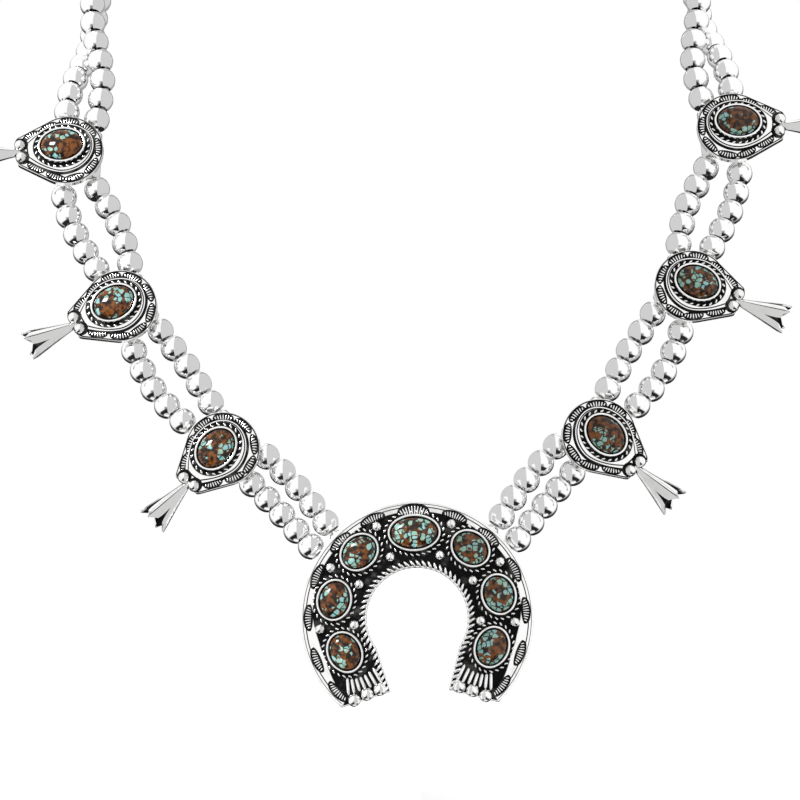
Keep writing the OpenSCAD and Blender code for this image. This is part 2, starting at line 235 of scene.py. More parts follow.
# %% Softbox
softbox_data = bpy.data.lights.new("softbox", "AREA")
softbox_data.shape = "RECTANGLE"
softbox_data.size, softbox_data.size_y = 0.25, 0.20
softbox_data.energy = 9.0
softbox = bpy.data.objects.new("softbox", softbox_data)
bpy.context.scene.collection.objects.link(softbox)
softbox.location = (-0.50, -0.78, 0.52)
aim = Vector((0, -0.10, -0.12)) - softbox.location
softbox.rotation_euler = aim.to_track_quat("-Z", "Y").to_euler()
print("softbox at", tuple(softbox.location))

# %% [markdown]
# ## Finishes
# The silver is polished where fingers and a buffing wheel reach, and blackened in the recesses.
# A group makes the fine wear of silver: faint scratches and cloudy patches that change the
# roughness and the height a little. All silvers and the dark ground use it with their own values.
# A painted image could hold the same wear, but noise in millimetres keeps its size on every piece.


# %% Helpers for finishes
def new_group(name, inputs, outputs):
    group = bpy.data.node_groups.new(name, "ShaderNodeTree")
    for label, value in inputs:
        kind = "NodeSocketColor" if isinstance(value, tuple) else "NodeSocketFloat"
        group.interface.new_socket(label, in_out="INPUT", socket_type=kind).default_value = value
    for label, kind in outputs:
        group.interface.new_socket(label, in_out="OUTPUT", socket_type=kind)
    return group, group.nodes.new("NodeGroupInput"), group.nodes.new("NodeGroupOutput")


def coordinates_in_mm(tree):
    place = add_node(tree.nodes, "ShaderNodeTexCoord")
    mapping = add_node(tree.nodes, "ShaderNodeMapping")
    mapping.inputs["Scale"].default_value = (1000, 1000, 1000)
    tree.links.new(place.outputs["Object"], mapping.inputs["Vector"])
    return mapping.outputs["Vector"]


def texture(tree, kind, place, scale, **settings):
    node = add_node(tree.nodes, kind, **settings)
    tree.links.new(place, node.inputs["Vector"])
    if isinstance(scale, bpy.types.NodeSocket):
        tree.links.new(scale, node.inputs["Scale"])
    else:
        node.inputs["Scale"].default_value = scale
    return node


def mix(tree, factor, a, b, blend="MIX"):
    node = add_node(tree.nodes, "ShaderNodeMix", data_type="RGBA", blend_type=blend)
    sockets = (node.inputs["Factor"], node.inputs["A"], node.inputs["B"])
    for socket, value in zip(sockets, (factor, a, b)):
        if isinstance(value, bpy.types.NodeSocket):
            tree.links.new(value, socket)
        else:
            socket.default_value = value
    return node.outputs["Result"]


# %% Silver wear group
silver_wear, given, gives = new_group(
    "silver_wear",
    [
        ("Tone", (0.9, 0.9, 0.9, 1)), ("Tarnish", (0.5, 0.45, 0.4, 1)),
        ("Roughness", 0.08), ("Patches", 0.3),
    ],
    [("Color", "NodeSocketColor"), ("Roughness", "NodeSocketFloat"), ("Height", "NodeSocketFloat")],
)
place = coordinates_in_mm(silver_wear)
cloud = texture(silver_wear, "ShaderNodeTexNoise", place, 0.35)
cloud.inputs["Detail"].default_value = 4.0
scratch = texture(silver_wear, "ShaderNodeTexNoise", place, 3.0)
scratch.inputs["Detail"].default_value = 3.0
cloudy = step(silver_wear, cloud.outputs["Fac"], 0.50, 0.72)
patches = math_node(silver_wear, "MULTIPLY", cloudy, given.outputs["Patches"])
toned = mix(silver_wear, patches, given.outputs["Tone"], given.outputs["Tarnish"])
silver_wear.links.new(toned, gives.inputs["Color"])
rougher = math_node(silver_wear, "MULTIPLY_ADD", patches, 0.25)
silver_wear.links.new(given.outputs["Roughness"], rougher.node.inputs[2])
silver_wear.links.new(rougher, gives.inputs["Roughness"])
silver_wear.links.new(scratch.outputs["Fac"], gives.inputs["Height"])
print("silver_wear nodes:", len(silver_wear.nodes))


# %% Silver, blackened silver and thread
def metal(name, tone, tarnish, roughness, patches, metallic, bump, specular=0.5):
    material = bpy.data.materials.new(name)
    material.use_nodes = True
    tree = material.node_tree
    shader = tree.nodes["Principled BSDF"]
    shader.inputs["Metallic"].default_value = metallic
    shader.inputs["Specular IOR Level"].default_value = specular
    wear = add_node(tree.nodes, "ShaderNodeGroup", node_tree=silver_wear)
    wear.inputs["Tone"].default_value = (*tone, 1)
    wear.inputs["Tarnish"].default_value = (*tarnish, 1)
    wear.inputs["Roughness"].default_value = roughness
    wear.inputs["Patches"].default_value = patches
    tree.links.new(wear.outputs["Color"], shader.inputs["Base Color"])
    tree.links.new(wear.outputs["Roughness"], shader.inputs["Roughness"])
    relief = add_node(tree.nodes, "ShaderNodeBump")
    relief.inputs["Strength"].default_value = bump
    relief.inputs["Distance"].default_value = 0.02 * MM
    tree.links.new(wear.outputs["Height"], relief.inputs["Height"])
    tree.links.new(relief.outputs["Normal"], shader.inputs["Normal"])
    return material


bead_silver = metal("bead_silver", (0.95, 0.95, 0.95), (0.80, 0.79, 0.77), 0.04, 0.15, 1.0, 0.1)
bright_silver = metal("bright_silver", (0.94, 0.94, 0.935), (0.72, 0.70, 0.67), 0.10, 0.35, 1.0, 0.3)
black_silver = metal(
    "black_silver", (0.004, 0.004, 0.004), (0.08, 0.08, 0.078), 0.5, 0.7, 0.0, 0.5, specular=0.05
)
satin_silver = metal("satin_silver", (0.90, 0.90, 0.89), (0.70, 0.68, 0.65), 0.45, 0.5, 1.0, 0.6)
braided_wire = metal("braided_wire", (0.45, 0.45, 0.45), (0.20, 0.19, 0.18), 0.35, 0.8, 1.0, 1.0)

# %% [markdown]
# The turquoise is a stone full of matrix: small rounded nodules of blue-green with thin dark
# outlines, lying in brown and dark brown rock. A Voronoi pattern gives the nodules and their
# outlines, because its cells are rounded and lie close like the nodules, and a noise bends them so
# that no two look alike. A broad noise decides where the rock swallows them.

# %% Turquoise group
turquoise_group, given, gives = new_group(
    "turquoise_nodules",
    [("Scale", 0.62), ("Rock", 0.5)],
    [("Color", "NodeSocketColor"), ("Nodules", "NodeSocketFloat")],
)
place = coordinates_in_mm(turquoise_group)
wobble = texture(turquoise_group, "ShaderNodeTexNoise", place, 0.8)
bent = add_node(turquoise_group.nodes, "ShaderNodeVectorMath", operation="MULTIPLY_ADD")
turquoise_group.links.new(wobble.outputs["Color"], bent.inputs[0])
bent.inputs[1].default_value = (0.9, 0.9, 0.9)
turquoise_group.links.new(place, bent.inputs[2])
bent = bent.outputs[0]
scale = given.outputs["Scale"]
edges = texture(turquoise_group, "ShaderNodeTexVoronoi", bent, scale, feature="DISTANCE_TO_EDGE")
cells = texture(turquoise_group, "ShaderNodeTexVoronoi", bent, scale, feature="F1")
broad = texture(turquoise_group, "ShaderNodeTexNoise", place, 0.27)
fine = texture(turquoise_group, "ShaderNodeTexNoise", place, 0.75)
fine.inputs["Detail"].default_value = 5.0
print("turquoise textures:", len(turquoise_group.nodes))

# %% Nodules and rock
random_cell = add_node(turquoise_group.nodes, "ShaderNodeSeparateColor")
turquoise_group.links.new(cells.outputs["Color"], random_cell.inputs[0])
by_chance = math_node(turquoise_group, "MULTIPLY", random_cell.outputs[0], 0.22)
swallow = math_node(turquoise_group, "ADD", broad.outputs["Fac"], by_chance)
rock_level = math_node(turquoise_group, "SUBTRACT", swallow, given.outputs["Rock"])
kept = step(turquoise_group, rock_level, -0.02, 0.02)
inside = step(turquoise_group, edges.outputs["Distance"], 0.05, 0.10)
rounded = step(turquoise_group, cells.outputs["Distance"], 0.62, 0.52)
nodules = math_node(turquoise_group, "MULTIPLY", inside, rounded)
nodules = math_node(turquoise_group, "MULTIPLY", nodules, kept)
blue = mix(turquoise_group, random_cell.outputs[1], (0.20, 0.44, 0.45, 1), (0.20, 0.35, 0.26, 1))
pale = step(turquoise_group, fine.outputs["Fac"], 0.45, 0.75)
blue = mix(turquoise_group, pale, blue, (0.36, 0.56, 0.50, 1))
rusty = step(turquoise_group, fine.outputs["Fac"], 0.42, 0.62)
brown = mix(turquoise_group, rusty, (0.012, 0.006, 0.004, 1), (0.17, 0.055, 0.011, 1))
near_edge = step(turquoise_group, edges.outputs["Distance"], 0.07, 0.02)
outline = math_node(turquoise_group, "MULTIPLY", near_edge, kept)
brown = mix(turquoise_group, outline, brown, (0.008, 0.005, 0.003, 1))
turquoise_group.links.new(mix(turquoise_group, nodules, brown, blue), gives.inputs["Color"])
turquoise_group.links.new(nodules, gives.inputs["Nodules"])
print("turquoise nodes:", len(turquoise_group.nodes))


# %% Turquoise
def turquoise(name, rock, offset):
    material = bpy.data.materials.new(name)
    material.use_nodes = True
    tree = material.node_tree
    shader = tree.nodes["Principled BSDF"]
    shader.inputs["Roughness"].default_value = 0.10
    shader.inputs["Specular IOR Level"].default_value = 0.3
    shader.inputs["Coat Weight"].default_value = 0.1
    shader.inputs["Coat Roughness"].default_value = 0.03
    stone = add_node(tree.nodes, "ShaderNodeGroup", node_tree=turquoise_group)
    stone.inputs["Scale"].default_value = 0.62 + offset
    stone.inputs["Rock"].default_value = rock
    tree.links.new(stone.outputs["Color"], shader.inputs["Base Color"])
    relief = add_node(tree.nodes, "ShaderNodeBump")
    relief.inputs["Strength"].default_value = 0.15
    relief.inputs["Distance"].default_value = 0.03 * MM
    tree.links.new(stone.outputs["Nodules"], relief.inputs["Height"])
    tree.links.new(relief.outputs["Normal"], shader.inputs["Normal"])
    return material


# %% [markdown]
# ## Beads
# Each bead is two domes of silver soldered together and polished, with small flat ends and a hole
# through them. It starts as a ball. Its ends are cut off with bisect, and the rims are drawn in to
# the hole and bridged through it. Beads could be strewn along a curve, but the CAD strand already
# has every bead at its place, so one bead is copied to the middle of each CAD bead.


# %% Helpers for edit mode
def pick_faces(piece, test):
    """Goes to edit mode with only those faces selected whose middle and normal pass the test."""
    if piece.mode == "EDIT":
        bpy.ops.object.mode_set(mode="OBJECT")
    deselect()
    bpy.context.view_layer.objects.active = piece
    piece.select_set(True)
    bpy.context.tool_settings.mesh_select_mode = (False, False, True)
    for part in (piece.data.vertices, piece.data.edges):
        part.foreach_set("select", [False] * len(part))
    chosen = [bool(test(face.center, face.normal)) for face in piece.data.polygons]
    piece.data.polygons.foreach_set("select", chosen)
    bpy.ops.object.mode_set(mode="EDIT")
    return sum(chosen)


def edit_done():
    bpy.ops.object.mode_set(mode="OBJECT")


# %% One bead
bead_r, bore_r, flat_at = 3.4 * MM, 0.9 * MM, 2.57 * MM
deselect()
bpy.ops.mesh.primitive_uv_sphere_add(segments=24, ring_count=14, radius=bead_r)
bead = named("bead", bead_silver)
pick_faces(bead, lambda middle, normal: True)
for end in (-1, 1):
    bpy.ops.mesh.select_all(action="SELECT")
    bpy.ops.mesh.bisect(plane_co=(0, 0, end * flat_at), plane_no=(0, 0, end), clear_outer=True)
bpy.ops.mesh.select_all(action="SELECT")
bpy.ops.mesh.region_to_loop()
rim_r = math.sqrt(bead_r**2 - flat_at**2)
bpy.ops.mesh.extrude_edges_move()
bpy.ops.transform.resize(value=(bore_r / rim_r, bore_r / rim_r, 1), center_override=(0, 0, 0))
bpy.ops.mesh.bridge_edge_loops()
bpy.ops.mesh.select_all(action="SELECT")
bpy.ops.mesh.normals_make_consistent(inside=False)
edit_done()
bpy.ops.object.shade_smooth_by_angle(angle=math.radians(40))
print("bead faces:", len(bead.data.polygons))


# %% Where the CAD beads are
def islands(mesh):
    """The corners of each separate solid of a mesh, as lists of vectors."""
    joined = {}

    def root(k):
        while joined.setdefault(k, k) != k:
            joined[k] = joined[joined[k]]
            k = joined[k]
        return k

    keys = [tuple(round(c * 1e6) for c in v.co) for v in mesh.vertices]
    for face in mesh.polygons:
        corners = [keys[i] for i in face.vertices]
        for other in corners[1:]:
            joined[root(other)] = root(corners[0])
    groups = {}
    for key in set(keys):
        groups.setdefault(root(key), []).append(Vector(key) * 1e-6)
    return list(groups.values())


def middle_of(points):
    low = Vector(min(p[i] for p in points) for i in range(3))
    high = Vector(max(p[i] for p in points) for i in range(3))
    return (low + high) / 2


def string_order(middles, start):
    """The bead middles in the order of the string, beginning nearest to start."""
    left, order, here = list(middles), [], start
    while left:
        nearest = min(left, key=lambda p: (p - here).length)
        left.remove(nearest)
        order.append(nearest)
        here = nearest
    return order


# %% Joining and copying
def join(pieces, name):
    deselect()
    for piece in pieces:
        piece.select_set(True)
    bpy.context.view_layer.objects.active = pieces[0]
    if len(pieces) > 1:
        bpy.ops.object.join()
    whole = bpy.context.object
    whole.name = whole.data.name = name
    return whole


def copies(model, places):
    """Copies of a modelled piece with their own meshes, each with its place in the mesh."""
    made = []
    for place in places:
        copy = model.copy()
        copy.data = model.data.copy()
        copy.data.transform(place @ model.matrix_world)
        copy.matrix_world = Matrix()
        if place.determinant() < 0:
            copy.data.flip_normals()
        bpy.context.scene.collection.objects.link(copy)
        made.append(copy)
    return made


def remove(*pieces):
    for piece in pieces:
        bpy.data.objects.remove(piece)


# %% Four strands
for lane in ("inner", "outer"):
    for side_name in ("left", "right"):
        node = f"bead_strand_{lane}_{side_name}"
        groups = islands(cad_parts[node].data)
        middles = string_order([middle_of(g) for g in groups], Vector((0, -0.11, -0.18)))
        places = []
        for i, middle in enumerate(middles):
            before, after = middles[max(i - 1, 0)], middles[min(i + 1, len(middles) - 1)]
            turn = (after - before).to_track_quat("Z", "Y").to_matrix().to_4x4()
            places.append(Matrix.Translation(middle) @ turn)
        strand = join(copies(bead, places), f"beads_{lane}_{side_name}")
        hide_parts(node)
        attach(strand, "root")
        print(strand.name, len(middles), "beads")
remove(bead)

# %% [markdown]
# ## Where the pendant and the plates lie
# Both are modelled lying flat, face up, with their stones around the middle, and are then stood up
# by one matrix each, which is simpler than modelling on the slant. The front leans back a little
# more towards the top, as on a chest.

# %% Places
LEAN, CHEST_R = 6.0, 500.0
PENDANT = Matrix.Translation((0, -112.6 * MM, -198 * MM))
SHEET_Z, GROUND_Z, BORDER_Z = 3.65, 4.95, 5.45


def lean_at(up):
    return math.degrees(math.asin(math.sin(math.radians(LEAN)) + up / CHEST_R))


def back_at(up):
    return CHEST_R * (math.cos(math.radians(LEAN)) - math.cos(math.radians(lean_at(up))))


def turned(degrees, axis):
    return Matrix.Rotation(math.radians(degrees), 4, axis)


naja_place = PENDANT @ turned(90 - LEAN, "X")
PLATES = {"low": (50.0, 44.2, 49), "mid": (75.5, 82.2, 27), "top": (88.6, 123.8, 6)}


def plate_place(level, side_name):
    across, up, droop = PLATES[level]
    place = Matrix.Translation(Vector((across, back_at(up), up)) * MM)
    place = place @ turned(90 - lean_at(up), "X") @ turned(-droop, "Z")
    if side_name == "left":
        place = Matrix.Scale(-1, 4, (1, 0, 0)) @ place
    return PENDANT @ place


# %% [markdown]
# ## Small parts that repeat
# A silversmith solders sheet, wire and small balls together. Sheet is modelled from its outline, by
# moving the corners of a circle onto it and extruding. Two strands of wire that are twisted together
# show slanted links, so twisted wire is drawn as slanted links that overlap, which needs far fewer
# faces than two real spirals. Links, balls and ribs are each modelled once and copied.


# %% Modifiers and edges
def at_mm(x, y, z):
    return Vector((x, y, z)) * MM


def apply_modifier(piece, modifier):
    deselect()
    bpy.context.view_layer.objects.active = piece
    piece.select_set(True)
    bpy.ops.object.modifier_apply(modifier=modifier.name)


def soften(piece, width, segments=2):
    """Rounds the sharp edges with a Bevel modifier, and applies it."""
    modifier = piece.modifiers.new("soft_edges", "BEVEL")
    modifier.width = width * MM
    modifier.segments = segments
    modifier.limit_method = "ANGLE"
    modifier.angle_limit = math.radians(35)
    apply_modifier(piece, modifier)
    bpy.ops.object.shade_smooth_by_angle(angle=math.radians(20))


def satin_back(piece):
    """Gives the faces that look to the back the brushed finish that polishing leaves there."""
    piece.data.materials.append(satin_silver)
    for face in piece.data.polygons:
        if face.normal.z < -0.5:
            face.material_index = len(piece.data.materials) - 1


# %% Sheets and rings
def slab(name, outline, low, high, material, soft=0.0):
    """A flat piece of the given outline. A circle's rim is moved onto the outline and extruded."""
    deselect()
    bpy.ops.mesh.primitive_circle_add(vertices=len(outline), radius=MM, fill_type="NGON")
    piece = named(name, material)
    for vertex, (x, y) in zip(piece.data.vertices, outline):
        vertex.co = at_mm(x, y, low)
    pick_faces(piece, lambda middle, normal: True)
    bpy.ops.mesh.extrude_region_move(TRANSFORM_OT_translate={"value": (0, 0, (high - low) * MM)})
    bpy.ops.mesh.select_all(action="SELECT")
    bpy.ops.mesh.normals_make_consistent(inside=False)
    edit_done()
    if soft:
        soften(piece, soft)
    return piece


def ring(name, outer, inner, low, high, material, soft=0.0):
    """A closed band between two outlines with the same number of points."""
    deselect()
    count = len(outer)
    bpy.ops.mesh.primitive_circle_add(vertices=count, radius=MM)
    piece = named(name, material)
    bpy.ops.object.mode_set(mode="EDIT")
    bpy.ops.mesh.select_all(action="SELECT")
    bpy.ops.mesh.duplicate()
    edit_done()
    for vertex, (x, y) in zip(piece.data.vertices, list(outer) + list(inner)):
        vertex.co = at_mm(x, y, low)
    bpy.ops.object.mode_set(mode="EDIT")
    bpy.ops.mesh.select_all(action="SELECT")
    bpy.ops.mesh.bridge_edge_loops()
    bpy.ops.mesh.select_all(action="SELECT")
    bpy.ops.mesh.extrude_region_move(TRANSFORM_OT_translate={"value": (0, 0, (high - low) * MM)})
    bpy.ops.mesh.select_all(action="SELECT")
    bpy.ops.mesh.normals_make_consistent(inside=False)
    edit_done()
    if soft:
        soften(piece, soft)
    return piece


# %% Outlines
def polar(radius, degrees):
    return radius * math.cos(math.radians(degrees)), radius * math.sin(math.radians(degrees))


def arc(radius, start, end, count):
    return [polar(radius, start + (end - start) * i / (count - 1)) for i in range(count)]


def oval(a, b, count):
    turns = [2 * math.pi * i / count for i in range(count)]
    return [(a * math.cos(t), b * math.sin(t)) for t in turns]


# %% Link, ball and rib
deselect()
bpy.ops.mesh.primitive_uv_sphere_add(segments=8, ring_count=6, radius=0.5)
link = named("wire_link", bright_silver)
bpy.ops.object.shade_smooth()
deselect()
bpy.ops.mesh.primitive_uv_sphere_add(segments=20, ring_count=12, radius=MM)
ball = named("ball", bright_silver)
bpy.ops.object.shade_smooth()
deselect()
bpy.ops.mesh.primitive_cube_add(size=1)
rib = named("rib", bright_silver)
rib.data.transform(Matrix.Diagonal((MM, MM, MM, 1)))
soften(rib, 0.3)
print("faces of a link, a ball and a rib:", [len(piece.data.polygons) for piece in (link, ball, rib)])


# %% Twisted wire
def on_path(path, count, closed):
    """Points at even steps along a path, each with the path's direction there."""
    line = [Vector(p) for p in path] + ([Vector(path[0])] if closed else [])
    steps = [(b - a).length for a, b in zip(line, line[1:])]
    total = sum(steps)
    found = []
    for k in range(count):
        aim = total * (k + 0.5) / count
        i = 0
        while aim > steps[i]:
            aim -= steps[i]
            i += 1
        direction = (line[i + 1] - line[i]).normalized()
        found.append((line[i] + direction * aim, math.degrees(math.atan2(direction.y, direction.x))))
    return found


def twisted_wire(path, pitch, long, thick, tall, z, slant, closed=True):
    """Slanted links along a path in the plane of the piece."""
    line = [Vector(p) for p in path] + ([Vector(path[0])] if closed else [])
    total = sum((b - a).length for a, b in zip(line, line[1:]))
    size = Matrix.Diagonal((long * MM, thick * MM, tall * MM, 1))
    return copies(link, [
        Matrix.Translation(at_mm(p.x, p.y, z)) @ turned(heading + slant, "Z") @ size
        for p, heading in on_path(path, round(total / pitch), closed)
    ])


# %% [markdown]
# A fan is struck into the border with a steel stamp: a lens-shaped hollow, black inside, with bright
# ribs that spread from below. Cutting the hollow with a boolean would leave ragged edges, so a thin
# black slab lies on the border and the ribs stand on it.


# %% Fan
def fan(wide, deep, ribs, z, at, heading):
    """A fan whose arc bulges towards heading, with its middle at the given point."""
    place = Matrix.Translation(at_mm(at[0], at[1], 0)) @ turned(heading - 90, "Z")
    half = wide / 2
    arc_points = [math.pi * i / 14 for i in range(15)]
    outer = [(half * math.cos(t), deep * (0.66 * math.sin(t) ** 0.8 - 0.08)) for t in arc_points]
    inner = [(-half * math.cos(t), -deep * (0.08 + 0.30 * math.sin(t))) for t in arc_points[1:-1]]
    hollow = slab("fan_hollow", outer + inner, z - 0.05, z + 0.03, black_silver)
    made = [hollow]
    for i in range(ribs):
        t = -1 + 2 * i / (ribs - 1)
        length = deep * (0.58 - 0.26 * t * t)
        spot = Matrix.Translation(at_mm(t * half * 0.74, deep * (0.12 - 0.12 * t * t), z + 0.06))
        size = Matrix.Diagonal((wide / ribs * 0.42, length, 0.26, 1))
        made += copies(rib, [spot @ turned(-30 * t, "Z") @ size])
    for piece in made:
        piece.data.transform(place)
    return made


# %% [markdown]
# A stone sits in a bezel, a thin wall of fine silver that is rubbed over its edge. The wall is an
# open cylinder with thickness from a Solidify modifier. Between wall and stone a black ring stands
# for the shade in the gap, a painted shade, and a ring of twisted wire lies round the wall.


# %% Stone setting
def dressed_setting(a, b, dist, angle, gap, pitch, long, thick, slant):
    """Bezel, painted gap shade and a ring of twisted wire whose middle line runs at a gap round the
    stone.
    """
    deselect()
    bpy.ops.mesh.primitive_cylinder_add(vertices=56, radius=1, depth=1, end_fill_type="NOTHING")
    bezel = named("bezel", bright_silver)
    bezel.data.transform(
        Matrix.Translation(at_mm(0, 0, GROUND_Z + 0.95))
        @ Matrix.Diagonal(((a + 0.1) * MM, (b + 0.1) * MM, 1.9 * MM, 1))
    )
    wall = bezel.modifiers.new("wall", "SOLIDIFY")
    wall.thickness = 0.55 * MM
    wall.offset = 1
    apply_modifier(bezel, wall)
    soften(bezel, 0.16, 3)
    wire = twisted_wire(oval(a + gap, b + gap, 72), pitch, long, thick, 0.7, GROUND_Z + 0.25, slant)
    outer, inner = oval(a + 0.2, b + 0.2, 56), oval(a - 0.5, b - 0.5, 56)
    # painted shade: a black ring under the stone's edge and inside the bezel darkens the gap between
    # them
    gap_shade_ring = ring("painted_gap_shade", outer, inner, GROUND_Z - 0.1, GROUND_Z + 1.3, black_silver)
    place = turned(angle, "Z") @ Matrix.Translation(at_mm(0, dist, 0))
    for piece in [bezel, gap_shade_ring] + wire:
        piece.data.transform(place)
    return [bezel, gap_shade_ring] + wire


# %% [markdown]
# ## The pendant
# The naja is cut from sheet. A raised border with thirteen stamped fans runs along its outer edge,
# the ground inside is blackened, and a thick twisted wire follows the opening down to the feet.
# Each layer is a slab of its own height, because a slab takes its outline from a few numbers.

# %% Pendant sheet and border
NAJA_R, OPEN_R, LEG = 29.8, 12.8, 35
FOOT_IN, FOOT_OUT = (7.3, -18.6), (20.2, -22.4)
foot_angle = math.degrees(math.atan2(FOOT_OUT[1], FOOT_OUT[0]))
outline = arc(NAJA_R, foot_angle, 180 - foot_angle, 120)
outline += [(-FOOT_IN[0], FOOT_IN[1])] + arc(OPEN_R, 180 + LEG, -LEG, 70) + [FOOT_IN]
sheet = slab("sheet", outline, SHEET_Z, GROUND_Z - 0.02, bright_silver, 0.15)
satin_back(sheet)
ground_outline = arc(NAJA_R - 0.6, foot_angle, 180 - foot_angle, 120)
ground_outline += [(-FOOT_IN[0] - 0.4, FOOT_IN[1] + 0.3)] + arc(OPEN_R + 0.5, 180 + LEG, -LEG, 70)
ground_outline += [(FOOT_IN[0] + 0.4, FOOT_IN[1] + 0.3)]
ground = slab("ground", ground_outline, GROUND_Z - 0.3, GROUND_Z, black_silver)


def border_r(degrees):
    """Inner radius of the border at an angle from the top."""
    stops = [(0, 27.2), (60, 27.2), (88, 26.5), (101, 25.7), (114, 25.6), (128, 26.8), (180, 27.0)]
    for (a, low), (b, high) in zip(stops, stops[1:]):
        if a <= degrees <= b:
            return low + (high - low) * (degrees - a) / (b - a)


border_outline = arc(NAJA_R, foot_angle, 180 - foot_angle, 120)
for x, y in arc(1, 180 - foot_angle - 1.2, foot_angle + 1.2, 110):
    inner = border_r(math.degrees(math.acos(y)))
    border_outline.append((inner * x, inner * y))
border = slab("border", border_outline, GROUND_Z - 0.3, BORDER_Z, bright_silver, 0.18)
LINE_LOW, LINE_HIGH = BORDER_Z - 0.1, BORDER_Z + 0.012
naja_parts = [sheet, ground, border]
# name, inset of the outer and the inner edge, degrees left out at the feet
for name, outer, inner, short in [("groove", 0.62, 0.78, 1), ("inner_groove", 1.30, 1.58, 3)]:
    start, end = foot_angle + short, 180 - short - foot_angle
    band = arc(NAJA_R - outer, start, end, 120) + arc(NAJA_R - inner, end, start, 120)
    naja_parts.append(slab(name, band, LINE_LOW, LINE_HIGH, black_silver))
print("pendant outline points:", len(outline))

# %% Fans, balls and settings of the pendant
FAN_ANGLES = [22.4, 43.5, 65.5, 88, 111, 131]
naja_parts += fan(8.4, 4.0, 10, BORDER_Z, (0, 27.0), 90)
for sign in (-1, 1):
    for angle in FAN_ANGLES:
        heading = 90 - sign * angle
        naja_parts += fan(6.9, 2.6, 9, BORDER_Z, polar(27.5, heading), heading)
# angle from the top, distance, half length, half width
NAJA_STONES = [
    (0, 21.7, 6.1, 4.1), (39.5, 22.3, 4.75, 3.9), (76, 21.6, 4.75, 3.9), (113.5, 20.4, 4.85, 3.9),
]
# angle from the top, distance of the outer and of the inner ball
NAJA_BALLS = [(21.9, 25.5, 17.0), (58.0, 25.5, 17.1), (94.5, 24.9, 16.2)]
FOOT_BALLS = [(10.1, -17.9), (13.4, -19.0), (16.7, -20.4)]
for sign in (-1, 1):
    for angle, dist, a, b in NAJA_STONES:
        if angle or sign > 0:
            naja_parts += dressed_setting(a, b, dist, -sign * angle, 1.5, 1.5, 1.25, 0.58, -36)
    for angle, outer, inner in NAJA_BALLS:
        for dist in (outer, inner):
            place = turned(-sign * angle, "Z") @ Matrix.Translation(at_mm(0, dist, GROUND_Z + 0.6))
            naja_parts += copies(ball, [place @ Matrix.Scale(1.28, 4)])
    for x, y in FOOT_BALLS:
        place = Matrix.Translation(at_mm(sign * x, y, GROUND_Z + 0.5))
        naja_parts += copies(ball, [place @ Matrix.Scale(1.7, 4)])
print("pendant parts:", len(naja_parts))

# %% Wire along the opening and rays on the feet
WIRE_R, WIRE_FOOT = OPEN_R + 1.1, (FOOT_IN[0] + 1.1, FOOT_IN[1] - 0.1)
opening_path = [WIRE_FOOT] + arc(WIRE_R, -LEG, 180 + LEG, 120) + [(-WIRE_FOOT[0], WIRE_FOOT[1])]
naja_parts += twisted_wire(opening_path, 1.47, 2.7, 0.9, 1.9, GROUND_Z + 0.45, -52, closed=False)
RAYS = 7
for sign in (-1, 1):
    for i in range(RAYS):
        t = i / (RAYS - 1)
        top = Vector((11.7 + 6.6 * t, -12.3 - 2.4 * t - 4.0 * t * (1 - t)))
        low = Vector((9.5 + 8.6 * t, -16.4 - 2.6 * t))
        way = low - top
        middle = (top + low) / 2
        heading = math.degrees(math.atan2(way.y, sign * way.x))
        spot = Matrix.Translation(at_mm(sign * middle.x, middle.y, GROUND_Z + 0.15))
        size = Matrix.Diagonal((way.length, 0.86, 0.7, 1))
        naja_parts += copies(rib, [spot @ turned(heading, "Z") @ size])
print("pendant parts with wire and rays:", len(naja_parts))

# %% [markdown]
# The threads run through short tubes at the back, and each tube stands on a web that is soldered to
# the sheet. A tube is a cylinder whose ends are drawn in to a smaller mouth.

# %% Tubes at the back
TUBE_R, TUBE_END_R, TUBE_BORE, TAPER = 2.0, 1.05, 0.7, 1.2
WEB_HALF, WEB_LOW = 1.2, 1.4


def tube(length):
    """A short tube along Z with tapered ends, and the web that carries it below the sheet."""
    deselect()
    bpy.ops.mesh.primitive_cylinder_add(
        vertices=32, radius=TUBE_R * MM, depth=length * MM, end_fill_type="NOTHING"
    )
    piece = named("tube", bright_silver)
    bpy.ops.object.mode_set(mode="EDIT")
    for end in (-1, 1):
        bpy.ops.mesh.select_all(action="SELECT")
        bpy.ops.mesh.bisect(plane_co=(0, 0, end * (length / 2 - TAPER) * MM), plane_no=(0, 0, 1))
    edit_done()
    for vertex in piece.data.vertices:
        if abs(vertex.co.z) > (length / 2 - 0.1) * MM:
            vertex.co.x *= TUBE_END_R / TUBE_R
            vertex.co.y *= TUBE_END_R / TUBE_R
    bpy.ops.object.mode_set(mode="EDIT")
    bpy.ops.mesh.select_all(action="SELECT")
    bpy.ops.mesh.region_to_loop()
    bpy.ops.mesh.extrude_edges_move()
    shrink = TUBE_BORE / TUBE_END_R
    bpy.ops.transform.resize(value=(shrink, shrink, 1), center_override=(0, 0, 0))
    bpy.ops.mesh.bridge_edge_loops()
    bpy.ops.mesh.select_all(action="SELECT")
    bpy.ops.mesh.normals_make_consistent(inside=False)
    edit_done()
    bpy.ops.object.shade_smooth_by_angle(angle=math.radians(40))
    end = length / 2 - TAPER
    corners = [(-WEB_HALF, -end), (WEB_HALF, -end), (WEB_HALF, end), (-WEB_HALF, end)]
    web = slab("web", corners, WEB_LOW, SHEET_Z + 0.4, bright_silver, 0.1)
    web.data.transform(turned(-90, "X"))
    return join([piece, web], "tube")


# angle from the top, distance of the outer mouth
MOUTHS, TUBE_LONG = [(42.2, 31.0), (54.8, 30.0)], 8
for sign in (-1, 1):
    for angle, mouth_r in MOUTHS:
        piece = tube(TUBE_LONG)
        inwards = Matrix.Translation(at_mm(0, mouth_r - TUBE_LONG / 2, 0))
        piece.data.transform(turned(-sign * angle, "Z") @ inwards @ turned(90, "X"))
        naja_parts.append(piece)

